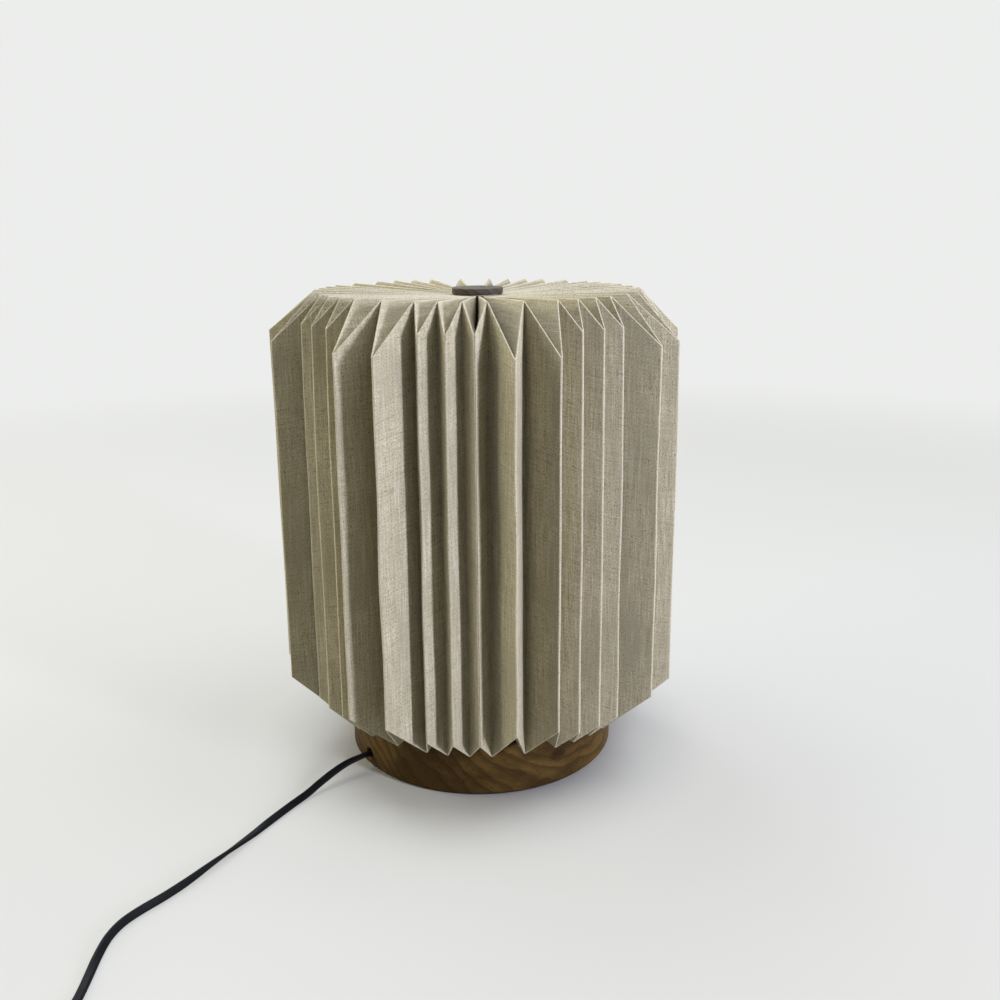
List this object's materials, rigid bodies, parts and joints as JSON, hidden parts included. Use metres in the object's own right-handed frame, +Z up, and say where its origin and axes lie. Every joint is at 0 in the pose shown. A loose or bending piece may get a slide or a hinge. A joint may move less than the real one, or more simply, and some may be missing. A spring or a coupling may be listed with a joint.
{
  "type": "pleated table lamp",
  "caption": "Table lamp with a reverse-folded pleated linen-faced paper shade on a round wooden base, with a low-voltage light column, flat lead, inline rocker switch and plug.",
  "frame": {"origin": "middle of the round base on the table surface", "axes": "+Z up along the lamp's axis, -Y towards the side that the shade's seam faces, +X to the right seen from there; the lead leaves towards -X, -Y"},
  "size_m": [0.2753, 0.472, 0.2574],
  "materials": {
    "walnut": "satin",
    "felt": "matt",
    "cover_board": "matt",
    "plated_steel": "satin",
    "brass": "satin",
    "aluminium": "satin",
    "light_board": "satin",
    "opal": "satin",
    "nylon": "matt",
    "cord_sheath": "gloss",
    "wire_sheath": "gloss",
    "linen": "matt",
    "paper_tape": "matt",
    "switch_black": "matt",
    "tie_black": "matt",
    "shell_steel": "polished",
    "tongue_white": "matt",
    "contact_gold": "polished"
  },
  "bodies": {
    "stand": {"base_disc": "walnut", "felt_pad": "felt", "bottom_cover": "cover_board", "cover_screws": "plated_steel", "lamp_pipe": "brass", "lower_washer": "plated_steel", "lower_nut": "brass", "foot_plate": "aluminium", "foot_nut": "brass", "light_bar": "aluminium", "light_strip_1": "light_board", "light_strip_2": "light_board", "light_strip_3": "light_board", "opal_tube": "opal", "head_plate": "aluminium", "head_nut": "brass", "clamp_block": "nylon", "clamp_bar": "nylon", "clamp_screws": "plated_steel", "inner_lead": "cord_sheath", "inner_wires": "wire_sheath", "cord_lead": "cord_sheath", "switch_lower_shell": "switch_black", "switch_upper_shell": "switch_black", "switch_screws": "plated_steel", "switch_contacts": "brass", "rocker_pin": "plated_steel", "cord_link": "cord_sheath", "cord_coil": "cord_sheath", "coil_tie": "tie_black", "cord_tail": "cord_sheath", "plug_relief": "cord_sheath", "plug_grip": "cord_sheath", "usb_shell": "shell_steel", "usb_tongue": "tongue_white", "usb_contacts": "contact_gold"},
    "shade": {"shade_length_1": "linen", "shade_length_2": "linen", "shade_length_3": "linen", "shade_length_4": "linen", "shade_length_5": "linen", "shade_length_6": "linen", "shade_length_7": "linen", "shade_length_8": "linen", "shade_hub": "nylon", "seam_tape": "paper_tape"},
    "cap": {"cap_disc": "walnut", "cap_spigot": "brass"},
    "rocker": {"rocker": "switch_black"}
  },
  "joints": [
    {"name": "shade_turn", "type": "hinge", "parent": "stand", "child": "shade", "pos_m": [0, 0, 0.24], "axis": [0, 0, 1], "continuous": true},
    {"name": "cap_lift", "type": "slide", "parent": "stand", "child": "cap", "axis": [0, 0, 1], "range_m": [0, 0.014]},
    {"name": "rocker_press", "type": "hinge", "parent": "stand", "child": "rocker", "pos_m": [-0.1585, -0.266, 0.0082], "axis": [1, 0, 0], "range_deg": [0, 16]}
  ]
}
